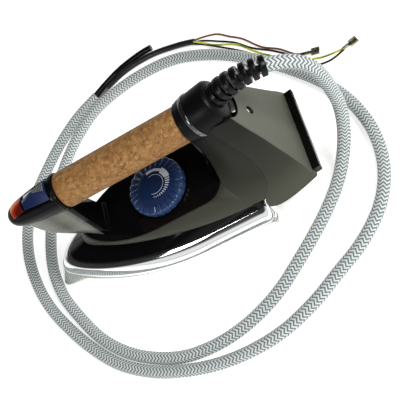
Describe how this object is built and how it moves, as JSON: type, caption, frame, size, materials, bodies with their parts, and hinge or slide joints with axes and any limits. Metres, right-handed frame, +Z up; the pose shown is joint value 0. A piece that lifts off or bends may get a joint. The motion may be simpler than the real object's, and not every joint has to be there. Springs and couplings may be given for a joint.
{
  "type": "clothes iron",
  "caption": "Steam station clothes iron with a cork grip, a thermostat dial under it, a steam button, and a braided hose with free wires.",
  "frame": {"origin": "under the middle of the iron, on the plane of its sole face", "axes": "+X towards the toe, +Y to the left of someone facing the toe, +Z up; the iron mirrors about Y = 0"},
  "size_m": [0.352, 0.321, 0.1439],
  "materials": {
    "sole": "polished casting",
    "skirt": "bright plated",
    "steel": "satin",
    "brass": "turned",
    "element": "heat-darkened",
    "shell": "fine-grained matt",
    "gloss": "gloss",
    "blue": "translucent gloss",
    "lens": "translucent gloss",
    "cork": "pressed cork, lightly sanded",
    "rubber": "matt",
    "gasket": "silicone",
    "braid": "braided textile, pale and grey yarns",
    "insulation": "moulded",
    "tube": "silicone tube",
    "wire_brown": "cable insulation",
    "wire_black": "cable insulation",
    "wire_earth": "cable insulation, two colours"
  },
  "bodies": {
    "body": {"soleplate": "sole", "heating_element": "element", "chamber_gasket": "gasket", "steam_chamber_lid": "steel", "lid_screws": "brass", "chrome_skirt": "skirt", "heat_shield": "shell", "main_shell": "shell", "deck_insert": "gloss", "front_post": "shell", "thermostat": "steel", "thermal_fuse": "insulation", "handle_core": "shell", "cork_grip": "cork", "front_collar": "gloss", "front_cap": "gloss", "pilot_lens": "lens", "pilot_lamp": "lens", "button_spring": "steel", "microswitch": "gloss", "grip_wiring": "wire_brown", "rear_housing": "gloss", "rear_collar": "gloss", "cable_clamp": "steel", "clamp_screws": "steel", "rear_cover": "shell", "cover_screw": "steel", "heel_strip": "rubber", "terminal_block": "insulation", "steam_inlet": "brass", "steam_tube": "tube", "strain_relief": "rubber", "hose": "braid", "cable_sleeve": "rubber", "steam_hose_stub": "rubber", "wire_brown": "wire_brown", "wire_black": "wire_black", "wire_earth": "wire_earth", "wire_spare": "wire_black", "spade_terminal_1": "steel", "spade_terminal_2": "steel"},
    "dial": {"thermostat_dial": "blue", "thermostat_spindle": "steel"},
    "button": {"steam_button": "blue", "switch_plunger": "insulation"}
  },
  "joints": [
    {"name": "dial_turn", "type": "hinge", "parent": "body", "child": "dial", "pos_m": [-0.006, 0, 0.0632], "axis": [0, 0, -1], "range_deg": [0, 270]},
    {"name": "button_press", "type": "slide", "parent": "body", "child": "button", "axis": [0, 0, -1], "range_m": [0, 0.002], "stiffness_N_per_m": 800, "springref_m": -0.001, "deforming": ["button_spring"]}
  ]
}
